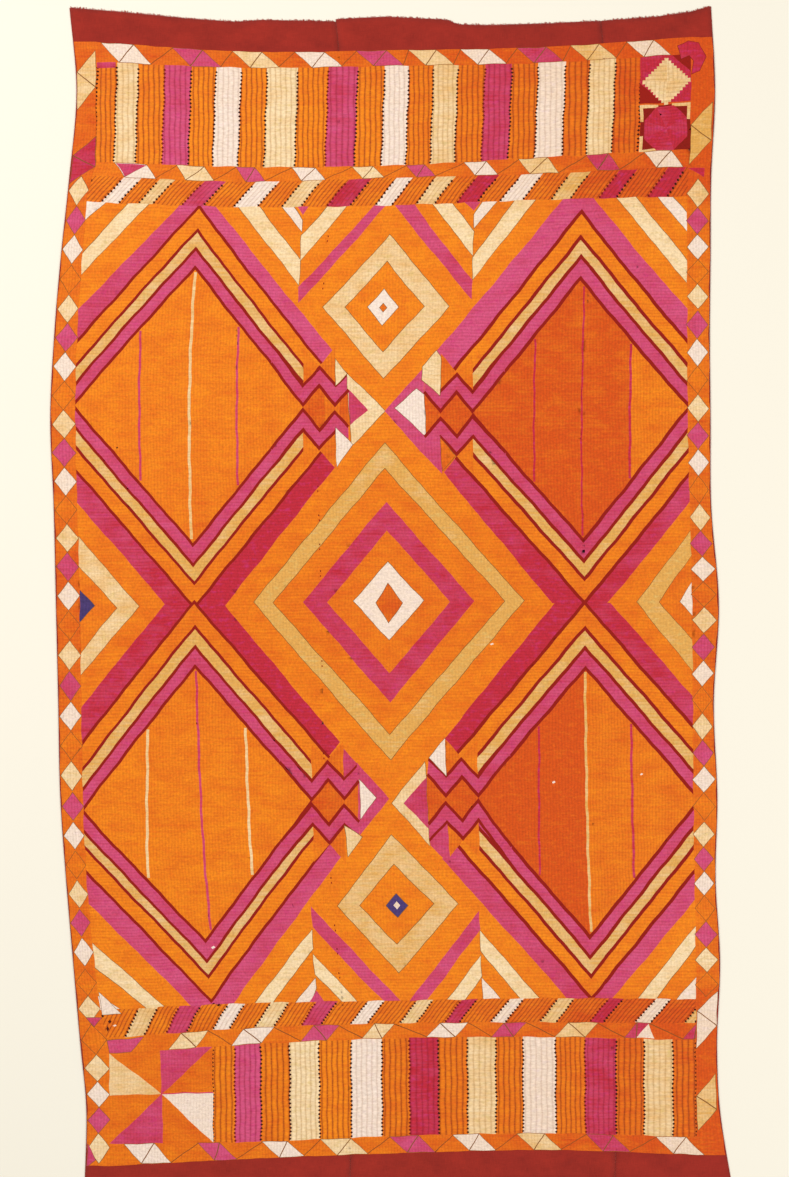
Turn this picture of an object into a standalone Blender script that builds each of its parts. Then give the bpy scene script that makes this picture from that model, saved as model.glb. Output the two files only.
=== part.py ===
"""Phulkari bagh shawl laid out flat: three hand-loomed cotton strips sewn edge to edge.

Metres, +Z up.  X runs across the shawl and Y along it.  The underside lies on z = 0, and the
origin is the middle of the box around the shawl.  The upper face is worked all over with silk
floss, except for a plain band at each end, so the wall is thinner there.
"""

import bpy
import bmesh
import numpy as np

# ---- driving dimensions
LOOM_WIDTH = 0.530  # one full strip, selvedge to selvedge
SEAM_GAP = 0.0003  # air between two strips along their seam
PLAIN_WALL = 0.0012  # bare khaddar at the two ends
WORKED_WALL = 0.0018  # khaddar covered with darned silk
THICKEST_WALL = 0.0030  # on the crest of the highest ridge
PLAIN_BAND = 0.060  # length of the bare band at each end
BAND_STEP = 0.020  # over this length the wall grows from plain to worked
ROW_LENGTH = 0.040  # a row of the loft is about this long

# Sections across the laid shawl, from the far end to the near one.
# along: Y of the section; left, right: X of the two outer selvedges
SIDE_COLUMNS = ("along", "left", "right")
SIDE_SECTIONS = (
    (1.186, -0.6435, 0.6397),
    (1.018, -0.6293, 0.6477),
    (0.838, -0.6443, 0.6397),
    (0.688, -0.6603, 0.6387),
    (0.530, -0.6737, 0.6371),
    (0.362, -0.6817, 0.6387),
    (0.192, -0.6751, 0.6397),
    (-0.012, -0.6703, 0.6553),
    (-0.208, -0.6657, 0.6451),
    (-0.402, -0.6613, 0.6523),
    (-0.558, -0.6503, 0.6487),
    (-0.722, -0.6363, 0.6577),
    (-0.902, -0.6203, 0.6517),
    (-1.002, -0.6103, 0.6557),
    (-1.186, -0.6133, 0.6838),
)

# The two raw ends of each strip, followed from its left edge to its right edge.
# share: how far across the strip; far, near: Y of the far and the near end there
END_COLUMNS = ("share", "far", "near")
LEFT_ENDS = (
    (0.00, 1.1824, -1.1856),
    (0.20, 1.1738, -1.1838),
    (0.45, 1.1604, -1.1790),
    (0.62, 1.1544, -1.1758),
    (0.72, 1.1580, -1.1720),
    (1.00, 1.1550, -1.1680),
)
MIDDLE_ENDS = (
    (0.00, 1.1596, -1.1680),
    (0.19, 1.1644, -1.1636),
    (0.42, 1.1584, -1.1620),
    (0.46, 1.1490, -1.1616),
    (0.58, 1.1474, -1.1610),
    (0.82, 1.1514, -1.1596),
    (1.00, 1.1562, -1.1620),
)
RIGHT_ENDS = (
    (0.00, 1.1562, -1.1620),
    (0.50, 1.1644, -1.1664),
    (0.82, 1.1744, -1.1694),
    (1.00, 1.1856, -1.1716),
)

# Strips: name, distance of the left edge from the left selvedge in loom widths, the same for
# the right edge (None is the right selvedge), rows of its ends, columns of the loft
STRIP_COLUMNS = ("name", "starts", "stops", "ends", "columns")
STRIPS = (
    ("khaddar_left", 0, 1, LEFT_ENDS, 10),
    ("khaddar_middle", 1, 2, MIDDLE_ENDS, 10),
    ("khaddar_right", 2, None, RIGHT_ENDS, 5),
)

# Soft ridges left by the shawl's old folds: x, y of the middle, half length across, half width
# along, height of the crest
RIDGE_COLUMNS = ("x", "y", "reach", "spread", "height")
RIDGES = (
    (-0.02, 0.585, 0.34, 0.050, 0.0007),
    (0.06, 0.365, 0.46, 0.045, 0.0009),
    (-0.30, 0.020, 0.30, 0.055, 0.0005),
    (0.30, -0.210, 0.30, 0.050, 0.0006),
    (0.02, -0.620, 0.42, 0.048, 0.0008),
)

COTTON_AND_SILK = {
    "khaddar_left": (0.82, 0.25, 0.030, 1.0),
    "khaddar_middle": (0.80, 0.22, 0.032, 1.0),
    "khaddar_right": (0.74, 0.18, 0.026, 1.0),
}


def column(rows, names, name):
    """One named column of a table, as an array."""
    return np.array([row[names.index(name)] for row in rows])


def smooth_curve(at, values, where):
    """A smooth curve through the rows of a table, whose `at` goes down from row to row."""
    at, values = at[::-1], values[::-1]
    slope = np.gradient(values, at)
    row = np.clip(np.searchsorted(at, where) - 1, 0, len(at) - 2)
    span = at[row + 1] - at[row]
    t = np.clip((where - at[row]) / span, 0.0, 1.0)
    start = values[row] * (1 + 2 * t) * (1 - t) ** 2 + slope[row] * span * t * (1 - t) ** 2
    stop = values[row + 1] * (3 - 2 * t) * t**2 + slope[row + 1] * span * (t - 1) * t**2
    return start + stop


def selvedge(side, y):
    """X of the outer selvedge on one side, at y along the shawl."""
    along = column(SIDE_SECTIONS, SIDE_COLUMNS, "along")
    return smooth_curve(along, column(SIDE_SECTIONS, SIDE_COLUMNS, side), y)


def strip_edges(starts, stops, y):
    """X of a strip's left and right edge at y, half a seam gap inside each seam."""
    left = selvedge("left", y)
    start = left + starts * LOOM_WIDTH + (SEAM_GAP / 2 if starts else 0.0)
    if stops is None:
        return start, selvedge("right", y)
    return start, left + stops * LOOM_WIDTH - SEAM_GAP / 2


def wall(x, y, far, near):
    """Thickness of the wall at a point: plain ends, the worked field and the old folds."""
    from_end = np.minimum(far - y, y - near)
    worked = np.clip((from_end - PLAIN_BAND) / BAND_STEP, 0.0, 1.0)
    thickness = PLAIN_WALL + (WORKED_WALL - PLAIN_WALL) * worked
    for ridge_x, ridge_y, reach, spread, height in RIDGES:
        fade = np.exp(-(((x - ridge_x) / reach) ** 4))
        crest = np.exp(-(((y - ridge_y) / spread) ** 2))
        thickness += height * fade * crest * worked
    return np.minimum(thickness, THICKEST_WALL)


def principled(name, colour):
    material = bpy.data.materials.new(name)
    material.use_nodes = True
    shader = material.node_tree.nodes["Principled BSDF"]
    shader.inputs["Base Color"].default_value = colour
    shader.inputs["Roughness"].default_value = 0.8
    shader.inputs["Metallic"].default_value = 0.0
    material.diffuse_color = colour
    return material


def make_strip(name, starts, stops, ends, columns, collection):
    """A flat underside shaped to the strip's outline, thickened upwards by a Solidify."""
    shares = column(ends, END_COLUMNS, "share")
    far_row = column(ends, END_COLUMNS, "far")
    near_row = column(ends, END_COLUMNS, "near")
    rows = round((far_row[0] - near_row[0]) / ROW_LENGTH)

    bm = bmesh.new()
    bmesh.ops.create_grid(bm, x_segments=columns, y_segments=rows, size=0.5)
    grid = np.array([vertex.co[:2] for vertex in bm.verts]) + 0.5
    far = np.interp(grid[:, 0], shares, far_row)
    near = np.interp(grid[:, 0], shares, near_row)
    y = near + (far - near) * grid[:, 1]
    left, right = strip_edges(starts, stops, y)
    x = left + (right - left) * grid[:, 0]
    for vertex, across, along in zip(bm.verts, x, y):
        vertex.co = (across, along, 0.0)

    mesh = bpy.data.meshes.new(name)
    bm.to_mesh(mesh)
    bm.free()
    mesh.materials.append(principled(name, COTTON_AND_SILK[name]))
    strip = bpy.data.objects.new(name, mesh)
    collection.objects.link(strip)

    walls = strip.vertex_groups.new(name="wall")
    for index, share in enumerate(wall(x, y, far, near) / THICKEST_WALL):
        walls.add([index], float(share), "REPLACE")
    solidify = strip.modifiers.new("wall", "SOLIDIFY")
    solidify.thickness = THICKEST_WALL
    solidify.offset = 1.0
    solidify.vertex_group = walls.name
    solidify.use_even_offset = False
    return strip


def main():
    for leftover in list(bpy.data.objects):
        bpy.data.objects.remove(leftover, do_unlink=True)
    collection = bpy.data.collections.new("phulkari_shawl")
    bpy.context.scene.collection.children.link(collection)
    for name, starts, stops, ends, columns in STRIPS:
        make_strip(name, starts, stops, ends, columns, collection)


main()
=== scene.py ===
"""Phulkari bagh shawl, spread flat and face up: madder cotton darned all over with silk floss.

Metres, +Z up, the shared frame.  X runs across the shawl, Y along it, and the underside is on z = 0.

The design is drawn on a flat chart.  `c` runs across it, from 0 on the left border line to FIELD on
the right one, with a chain of lozenges outside each line, and `s` runs along it, with 0 in the
middle.  Patches are painted on the chart in order, cut into tiles, and laid on the strips of cloth.
"""

import math

import bpy
import numpy as np
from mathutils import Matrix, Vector
from mathutils.geometry import delaunay_2d_cdt


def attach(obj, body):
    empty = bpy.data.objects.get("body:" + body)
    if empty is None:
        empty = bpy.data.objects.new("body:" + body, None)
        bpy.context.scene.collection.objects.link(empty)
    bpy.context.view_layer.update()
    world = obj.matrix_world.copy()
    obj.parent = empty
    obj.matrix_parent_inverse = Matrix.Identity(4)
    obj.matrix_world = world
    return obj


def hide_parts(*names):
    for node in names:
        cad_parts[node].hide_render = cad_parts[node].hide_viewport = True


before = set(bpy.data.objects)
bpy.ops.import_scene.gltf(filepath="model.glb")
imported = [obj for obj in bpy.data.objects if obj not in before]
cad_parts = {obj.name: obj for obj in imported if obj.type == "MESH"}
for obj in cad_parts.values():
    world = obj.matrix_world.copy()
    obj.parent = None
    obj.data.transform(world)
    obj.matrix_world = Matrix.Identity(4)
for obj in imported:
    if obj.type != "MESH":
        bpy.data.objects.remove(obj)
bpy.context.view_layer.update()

# ======== The three strips of cloth, as in the CAD

LOOM_WIDTH = 0.530
SEAM_GAP = 0.0003
PLAIN_WALL = 0.0012
WORKED_WALL = 0.0018
THICKEST_WALL = 0.0030
PLAIN_BAND = 0.060
BAND_STEP = 0.020
RIGHT_WIDTH = 0.245  # of the third strip, on average

SIDE_COLUMNS = ("along", "left", "right")
SIDE_SECTIONS = (
    (1.186, -0.6435, 0.6397),
    (1.018, -0.6293, 0.6477),
    (0.838, -0.6443, 0.6397),
    (0.688, -0.6603, 0.6387),
    (0.530, -0.6737, 0.6371),
    (0.362, -0.6817, 0.6387),
    (0.192, -0.6751, 0.6397),
    (-0.012, -0.6703, 0.6553),
    (-0.208, -0.6657, 0.6451),
    (-0.402, -0.6613, 0.6523),
    (-0.558, -0.6503, 0.6487),
    (-0.722, -0.6363, 0.6577),
    (-0.902, -0.6203, 0.6517),
    (-1.002, -0.6103, 0.6557),
    (-1.186, -0.6133, 0.6838),
)

# The raw ends of a strip. share: how far across it; far, near: Y of its two ends there
END_COLUMNS = ("share", "far", "near")
LEFT_ENDS = (
    (0.00, 1.1824, -1.1856),
    (0.20, 1.1738, -1.1838),
    (0.45, 1.1604, -1.1790),
    (0.62, 1.1544, -1.1758),
    (0.72, 1.1580, -1.1720),
    (1.00, 1.1550, -1.1680),
)
MIDDLE_ENDS = (
    (0.00, 1.1596, -1.1680),
    (0.19, 1.1644, -1.1636),
    (0.42, 1.1584, -1.1620),
    (0.46, 1.1490, -1.1616),
    (0.58, 1.1474, -1.1610),
    (0.82, 1.1514, -1.1596),
    (1.00, 1.1562, -1.1620),
)
RIGHT_ENDS = (
    (0.00, 1.1562, -1.1620),
    (0.50, 1.1644, -1.1664),
    (0.82, 1.1744, -1.1694),
    (1.00, 1.1856, -1.1716),
)
STRIPS = (("left", 0, 1, LEFT_ENDS), ("middle", 1, 2, MIDDLE_ENDS), ("right", 2, None, RIGHT_ENDS))

# Old folds: x, y of the middle, half length across, half width along, height
RIDGES = (
    (-0.02, 0.585, 0.34, 0.050, 0.0007),
    (0.06, 0.365, 0.46, 0.045, 0.0009),
    (-0.30, 0.020, 0.30, 0.055, 0.0005),
    (0.30, -0.210, 0.30, 0.050, 0.0006),
    (0.02, -0.620, 0.42, 0.048, 0.0008),
)


def column(rows, names, name):
    """One named column of a table, as an array."""
    return np.array([row[names.index(name)] for row in rows])


def smooth_curve(at, values, where):
    """A smooth curve through the rows of a table, whose `at` goes down from row to row."""
    at, values = at[::-1], values[::-1]
    slope = np.gradient(values, at)
    row = np.clip(np.searchsorted(at, where) - 1, 0, len(at) - 2)
    span = at[row + 1] - at[row]
    t = np.clip((where - at[row]) / span, 0.0, 1.0)
    start = values[row] * (1 + 2 * t) * (1 - t) ** 2 + slope[row] * span * t * (1 - t) ** 2
    stop = values[row + 1] * (3 - 2 * t) * t**2 + slope[row + 1] * span * (t - 1) * t**2
    return start + stop


def selvedge(side, y):
    along = column(SIDE_SECTIONS, SIDE_COLUMNS, "along")
    return smooth_curve(along, column(SIDE_SECTIONS, SIDE_COLUMNS, side), y)


def strip_edges(starts, stops, y):
    left = selvedge("left", y)
    start = left + starts * LOOM_WIDTH + (SEAM_GAP / 2 if starts else 0.0)
    if stops is None:
        return start, selvedge("right", y)
    return start, left + stops * LOOM_WIDTH - SEAM_GAP / 2


def strip_ends(ends, share):
    shares = column(ends, END_COLUMNS, "share")
    far = np.interp(share, shares, column(ends, END_COLUMNS, "far"))
    near = np.interp(share, shares, column(ends, END_COLUMNS, "near"))
    return far, near


def wall(x, y, far, near):
    """Thickness of the cloth: plain ends, the worked field and the old folds."""
    from_end = np.minimum(far - y, y - near)
    worked = np.clip((from_end - PLAIN_BAND) / BAND_STEP, 0.0, 1.0)
    thickness = PLAIN_WALL + (WORKED_WALL - PLAIN_WALL) * worked
    for ridge_x, ridge_y, reach, spread, height in RIDGES:
        fade = np.exp(-(((x - ridge_x) / reach) ** 4))
        crest = np.exp(-(((y - ridge_y) / spread) ** 2))
        thickness += height * fade * crest * worked
    return np.minimum(thickness, THICKEST_WALL)


# ======== The chart, and how it lies on the cloth

FIELD = 1.216  # between the two border lines
CHAIN = 0.048  # a side chain of lozenges
RISE = 1.2  # of every slanted line, for one unit across
OUTER_TOP, BARS_TOP, BARS_FOOT, TEETH_FOOT, FIELD_TOP = 1.117, 1.077, 0.883, 0.850, 0.800
FIELD_FOOT, SLANT_FOOT, LOW_BARS_TOP, LOW_BARS_FOOT, OUTER_FOOT = -0.800, -0.850, -0.880, -1.070, -1.110

# One row for each line of the design that runs across the shawl, as it lies on the cloth now.
# s: on the chart; left, right: X of the border lines; then Y at five even steps across the field
WARP_COLUMNS = ("s", "left", "right", "y0", "y1", "y2", "y3", "y4")
WARP = (
    (OUTER_TOP, -0.5923, 0.5997, 1.1148, 1.0954, 1.0980, 1.1044, 1.1244),
    (BARS_TOP, -0.5903, 0.5997, 1.0744, 1.0624, 1.0664, 1.0724, 1.0904),
    (BARS_FOOT, -0.5903, 0.5977, 0.8744, 0.8644, 0.8674, 0.8834, 0.9004),
    (TEETH_FOOT, -0.5983, 0.5957, 0.8464, 0.8344, 0.8424, 0.8504, 0.8654),
    (FIELD_TOP, -0.6083, 0.5917, 0.7944, 0.7844, 0.7874, 0.7984, 0.8056),
    (0.400, -0.6313, 0.5927, 0.3884, 0.3884, 0.3854, 0.3864, 0.3964),
    (0.000, -0.6223, 0.6017, -0.0136, -0.0116, -0.0096, -0.0076, -0.0056),
    (-0.400, -0.6153, 0.6043, -0.4256, -0.4116, -0.4026, -0.3976, -0.3956),
    (FIELD_FOOT, -0.5823, 0.6097, -0.8216, -0.8076, -0.8026, -0.7976, -0.7996),
    (SLANT_FOOT, -0.5683, 0.6097, -0.8776, -0.8566, -0.8476, -0.8456, -0.8476),
    (LOW_BARS_TOP, -0.5643, 0.6097, -0.9096, -0.8896, -0.8776, -0.8756, -0.8816),
    (LOW_BARS_FOOT, -0.5623, 0.6105, -1.0888, -1.0846, -1.0726, -1.0676, -1.0756),
    (OUTER_FOOT, -0.5623, 0.6117, -1.1336, -1.1186, -1.1076, -1.1016, -1.1116),
)


def warp_curve(name, s):
    """A curve through one column of WARP that never swings past its rows."""
    at = column(WARP, WARP_COLUMNS, "s")[::-1]
    values = column(WARP, WARP_COLUMNS, name)[::-1]
    span = np.diff(at)
    rise = np.diff(values) / span
    agree = rise[:-1] * rise[1:] > 0
    middle = 2 * rise[:-1] * rise[1:] / np.where(agree, rise[:-1] + rise[1:], 1.0)
    slope = np.concatenate([rise[:1], np.where(agree, middle, 0.0), rise[-1:]])
    row = np.clip(np.searchsorted(at, s) - 1, 0, len(at) - 2)
    t = np.clip((s - at[row]) / span[row], 0.0, 1.0)
    start = values[row] * (1 + 2 * t) * (1 - t) ** 2 + slope[row] * span[row] * t * (1 - t) ** 2
    stop = values[row + 1] * (3 - 2 * t) * t**2 + slope[row + 1] * span[row] * (t - 1) * t**2
    return start + stop


def lay(c, s):
    """Chart to cloth: X and Y of points of the chart."""
    steps = np.stack([warp_curve(f"y{n}", s) for n in range(5)])
    slope = np.gradient(steps, axis=0)
    place = np.clip(c / FIELD, 0.0, 1.0) * 4
    low = np.minimum(place.astype(int), 3)
    t = place - low
    point = np.arange(len(c))
    y = steps[low, point] * (1 + 2 * t) * (1 - t) ** 2 + slope[low, point] * t * (1 - t) ** 2
    y += steps[low + 1, point] * (3 - 2 * t) * t**2 + slope[low + 1, point] * (t - 1) * t**2
    left, right = warp_curve("left", s), warp_curve("right", s)
    x = left + (right - left) * c / FIELD
    x = np.where(c < 0, left + (left - selvedge("left", y)) * c / CHAIN, x)
    x = np.where(c > FIELD, right + (selvedge("right", y) - right) * (c - FIELD) / CHAIN, x)
    return x, y


def seam_on_chart(number, s):
    """c of a seam at s, by closing in on it."""
    c = np.full(len(s), number * LOOM_WIDTH - 0.045)
    for _ in range(12):
        x, y = lay(c, s)
        c = c + (selvedge("left", y) + number * LOOM_WIDTH - x)
    return c


# ======== Patches of silk.  Later patches lie over earlier ones.

BARE_GROUND_AND_SHADE, THREAD, ORANGE, MAGENTA, CREAM, WHITE, INDIGO = range(7)
patches = []


def paint(points, floss, tone=0.0, rib=0.2, width=0.0062, along=False, slant=0.0):
    """One patch. tone: 0 the fresh colour, 1 the deep one; rib: how strongly the rows of stitches
    part, and how dark the painted shade between them is; width: of a row of stitches; along: the
    floats run along the shawl, not across it; slant: how far the rows lean to the right for one
    unit up."""
    patches.append((np.array(points, float), floss, tone, rib, width, along, slant))


def grown(points, by):
    """A polygon moved outwards, side by side, with its corners cut short."""
    points = np.array(points, float)
    edge = np.roll(points, -1, axis=0) - points
    edge /= np.hypot(edge[:, 0], edge[:, 1])[:, None]
    normal = np.stack([edge[:, 1], -edge[:, 0]], axis=1)
    area = np.sum(points[:, 0] * np.roll(points[:, 1], -1) - np.roll(points[:, 0], -1) * points[:, 1])
    normal *= np.sign(area)
    before = np.roll(normal, 1, axis=0)
    corner = (normal + before) / np.maximum(1 + np.sum(normal * before, axis=1), 0.35)[:, None]
    return points + corner * by


def outlined(shape, floss, line=0.0011, line_floss=THREAD, line_tone=0.0, **look):
    """A patch with a thin worked line round it."""
    paint(grown(shape, line), line_floss, line_tone, 0.0)
    paint(shape, floss, **look)


def lozenge(c, s, half, tall, lean=0.0):
    return [(c - half, s), (c + lean, s + tall), (c + half, s), (c - lean, s - tall)]


def block(left, right, top, foot):
    return [(left, foot), (right, foot), (right, top), (left, top)]


def line(points, width):
    """A band along a broken line."""
    points = np.array(points, float)
    step = np.diff(points, axis=0)
    step /= np.hypot(step[:, 0], step[:, 1])[:, None]
    normal = np.stack([-step[:, 1], step[:, 0]], axis=1)
    normal = np.vstack([normal[:1], normal[:-1] + normal[1:], normal[-1:]])
    size = np.maximum(np.sum(normal[1:-1] ** 2, axis=1), 0.6)
    normal[1:-1] *= 2 / size[:, None]
    return list(points + normal * width / 2) + list((points - normal * width / 2)[::-1])


TOOTH = 0.0078  # from one stitch end to the next along a toothed or dotted edge
DOT_REACH = 0.0032  # half the width of a dot


def toothed(start, stop, depth):
    """Points from start to stop that step in and out by depth, like teeth."""
    start, stop = np.array(start, float), np.array(stop, float)
    span = stop - start
    length = math.hypot(*span)
    normal = np.array([-span[1], span[0]]) / length
    count = 2 * round(length / TOOTH)
    share = np.arange(count + 1) / count
    inward = np.where(np.arange(count + 1) % 2, depth, -depth)
    return list(start + share[:, None] * span + inward[:, None] * normal)


def dotted(start, stop, tone):
    """Small lozenges of bare ground between the stitch ends of two neighbouring bars, made darker by tone as
    painted shade in the gaps.
    """
    start, stop = np.array(start, float), np.array(stop, float)
    span = stop - start
    length = math.hypot(*span)
    step = span / length * TOOTH
    across = np.array([span[1], -span[0]]) / length * DOT_REACH
    for n in range(int(length / TOOTH)):
        middle = start + step * (n + 0.5)
        paint([middle - step * 0.34, middle + across, middle + step * 0.34, middle - across], BARE_GROUND_AND_SHADE, tone)


def barred(foot_left, foot_right, top_right, top_left, floss, **look):
    """A bar with a dotted line of bare ground on both of its long sides, darkened as painted shade in the
    gaps.
    """
    paint([foot_left, foot_right, top_right, top_left], floss, **look)
    # painted shade: the dots are darkened past the ground's own red, less so beside magenta bars
    tone = 0.45 if floss == MAGENTA else 1.15
    dotted(foot_left, top_left, tone)
    dotted(foot_right, top_right, tone)


# ---- the ground and the field

paint(block(-CHAIN, FIELD + CHAIN, OUTER_TOP, OUTER_FOOT), BARE_GROUND_AND_SHADE, 0.0, 0.0)
paint(block(0.0, FIELD, FIELD_TOP, FIELD_FOOT), ORANGE, 0.1, along=True)

LEFT_AXIS, MIDDLE_AXIS, RIGHT_AXIS = 0.2274, 0.6135, 1.0026

# Slanted stripes that stand on a line running along the shawl and end at the field's edge.
# c of the line; s where the stripe's two sides leave it; c where they reach the edge; floss; tone
TOP_STRIPES = (
    (0.000, 0.802, 0.765, 0.002, 0.039, WHITE, 0.1),
    (0.000, 0.700, 0.658, 0.083, 0.125, CREAM, 0.1),
    (0.438, 0.695, 0.645, 0.350, 0.308, CREAM, 0.1),
    (0.438, 0.743, 0.694, 0.488, 0.526, CREAM, 0.1),
    (0.438, 0.773, 0.751, 0.419, 0.396, WHITE, 0.2),
    (0.785, 0.744, 0.698, 0.740, 0.701, CREAM, 0.0),
    (0.785, 0.694, 0.650, 0.867, 0.909, CREAM, 0.1),
    (0.785, 0.776, 0.751, 0.802, 0.832, WHITE, 0.2),
    (1.216, 0.770, 0.735, 1.187, 1.157, WHITE, 0.1),
    (1.216, 0.680, 0.637, 1.113, 1.074, CREAM, 0.0),
)
FOOT_STRIPES = (
    (0.000, -0.668, -0.716, 0.131, 0.096, CREAM, 0.1),
    (0.000, -0.773, -0.799, 0.040, 0.002, WHITE, 0.1),
    (0.443, -0.654, -0.692, 0.317, 0.353, CREAM, 0.0),
    (0.443, -0.703, -0.743, 0.524, 0.494, CREAM, 0.0),
    (0.443, -0.751, -0.772, 0.400, 0.430, WHITE, 0.3),
    (0.781, -0.661, -0.702, 0.896, 0.857, CREAM, 0.0),
    (0.781, -0.711, -0.753, 0.709, 0.745, CREAM, 0.0),
    (0.781, -0.757, -0.799, 0.816, 0.783, WHITE, 0.2),
    (1.216, -0.655, -0.694, 1.098, 1.134, CREAM, 0.0),
    (1.216, -0.756, -0.799, 1.177, 1.214, WHITE, 0.2),
)
# The magenta ones: the same, then s of the edge
SPRAY_STRIPES = (
    (0.438, 0.641, 0.607, 0.582, 0.605, FIELD_TOP),
    (0.785, 0.648, 0.611, 0.663, 0.624, FIELD_TOP),
    (0.445, -0.607, -0.649, 0.613, 0.578, FIELD_FOOT),
    (0.782, -0.623, -0.659, 0.631, 0.668, FIELD_FOOT),
)

for axis, near, far, near_end, far_end, edge in SPRAY_STRIPES:
    ends = np.array([(axis, near), (near_end, edge), (far_end, edge), (axis, far)])
    paint(ends, MAGENTA, 0.2, 0.25, along=True)
    near_middle, far_middle = ends[0] * 0.6 + ends[1] * 0.4, ends[3] * 0.6 + ends[2] * 0.4
    paint([ends[0], near_middle, far_middle, ends[3]], MAGENTA, 0.35, 0.25, along=True)
for rows, edge in ((TOP_STRIPES, FIELD_TOP), (FOOT_STRIPES, FIELD_FOOT)):
    for axis, near, far, near_end, far_end, floss, tone in rows:
        shape = [(axis, near), (near_end, edge), (far_end, edge), (axis, far)]
        outlined(shape, floss, tone=tone, rib=0.1)
paint([(0.426, FIELD_TOP), (0.448, FIELD_TOP), (0.438, 0.783)], MAGENTA, 0.3)
paint([(0.766, FIELD_TOP), (0.798, FIELD_TOP), (0.784, 0.783)], MAGENTA, 0.3)
paint([(0.428, FIELD_FOOT), (0.458, FIELD_FOOT), (0.443, -0.777)], MAGENTA, 0.3)

# ---- the lozenges on the middle axis

outlined(lozenge(MIDDLE_AXIS, 0.0045, 0.268, 0.322), CREAM, tone=0.85, rib=0.25)
outlined(lozenge(MIDDLE_AXIS, 0.0045, 0.2295, 0.270), ORANGE, tone=0.15, along=True)
paint(lozenge(MIDDLE_AXIS, 0.004, 0.170, 0.204), MAGENTA, 0.45, 0.25, along=True)
paint(lozenge(MIDDLE_AXIS, 0.004, 0.122, 0.146), ORANGE, 0.2)
outlined(lozenge(MIDDLE_AXIS, 0.006, 0.070, 0.079), WHITE, rib=0.1)
outlined(lozenge(MIDDLE_AXIS, 0.002, 0.026, 0.039), ORANGE, tone=0.5, rib=0.3)

outlined(lozenge(0.614, 0.600, 0.126, 0.143, 0.002), CREAM, tone=0.35)
outlined(lozenge(0.611, 0.600, 0.078, 0.090, 0.002), ORANGE, tone=0.1)
outlined(lozenge(0.608, 0.600, 0.030, 0.036), WHITE, rib=0.1)
outlined(lozenge(0.608, 0.600, 0.0065, 0.008), ORANGE, tone=0.6)

outlined([(0.499, -0.606), (0.6125, -0.469), (0.740, -0.606), (0.6135, -0.743)], CREAM, tone=0.65)
outlined([(0.543, -0.606), (0.6150, -0.528), (0.692, -0.606), (0.6135, -0.684)], ORANGE, tone=0.1)
outlined(lozenge(0.617, -0.607, 0.022, 0.023), INDIGO)
paint(lozenge(0.617, -0.607, 0.007, 0.008), WHITE, 0.6)

# ---- the four great lozenges, each of four nested lines with a colour inside each of them

# The heights of the four lines, outermost first, as (top, foot) above and below the middle, then
# half the thickness of a line
INNERMOST, HALF_LINE = 3, 4  # places in a row
NESTED = (
    ((0.403, 0.401), (0.355, 0.3525), (0.3195, 0.3155), (0.281, 0.276), 0.0044),
    ((0.3863, 0.3896), (0.3383, 0.341), (0.301, 0.3035), (0.259, 0.262), 0.0052),
    ((0.4057, 0.395), (0.3557, 0.345), (0.317, 0.3135), (0.279, 0.274), 0.0044),
    ((0.393, 0.4094), (0.3414, 0.3626), (0.3009, 0.3245), (0.2596, 0.285), 0.0052),
)
INSIDE = ((ORANGE, 0.1), (CREAM, 0.75), (MAGENTA, 0.2), (ORANGE, 0.15))

# The wide bands outside the great lozenges, one to each arm.
# side, up: which arm; at_apex, at_side: width, measured along the shawl, at the arm's upper or
# lower apex and at its side; tone: near the apex; side_tone: near the side
GREAT = (
    (LEFT_AXIS, 0.396, ((-1, 1, 0.046, 0.058, 0.1, 0.6), (1, 1, 0.042, 0.052, 0.0, 0.1),
                        (-1, -1, 0.062, 0.052, 0.6, 0.2), (1, -1, 0.068, 0.062, 1.0, 0.95))),
    (RIGHT_AXIS, 0.389, ((-1, 1, 0.070, 0.078, 0.0, 0.0), (1, 1, 0.052, 0.060, 0.1, 0.2),
                         (-1, -1, 0.078, 0.060, 0.8, 0.5), (1, -1, 0.054, 0.044, 0.7, 0.2))),
    (LEFT_AXIS, -0.399, ((-1, 1, 0.066, 0.060, 0.7, 0.6), (1, 1, 0.066, 0.056, 1.0, 0.95),
                         (-1, -1, 0.054, 0.060, 0.1, 0.3), (1, -1, 0.060, 0.056, 0.2, 0.2))),
    (RIGHT_AXIS, -0.393, ((-1, 1, 0.072, 0.060, 0.8, 0.95), (1, 1, 0.062, 0.052, 0.7, 0.3),
                          (-1, -1, 0.056, 0.064, 0.3, 0.3), (1, -1, 0.046, 0.050, 0.1, 0.2))),
)


def edge_of(number, place, grow, c, up):
    """s of the upper or lower edge of one nested lozenge, at c."""
    great_c, great_s = GREAT[number][:2]
    top, foot = (height + grow for height in NESTED[number][place])
    share = abs(c - great_c) / ((top + foot) / 2 / RISE)
    return great_s + (top if up > 0 else -foot) * (1 - share) + (top - foot) / 2 * share


def nested(number, place, grow):
    """The four corners of one nested lozenge."""
    great_c = GREAT[number][0]
    half = (sum(NESTED[number][place]) / 2 + grow) / RISE
    left, right = great_c - half, great_c + half
    corners = ((left, 1), (great_c, 1), (right, 1), (great_c, -1))
    return [(c, edge_of(number, place, grow, c, up)) for c, up in corners]


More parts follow.
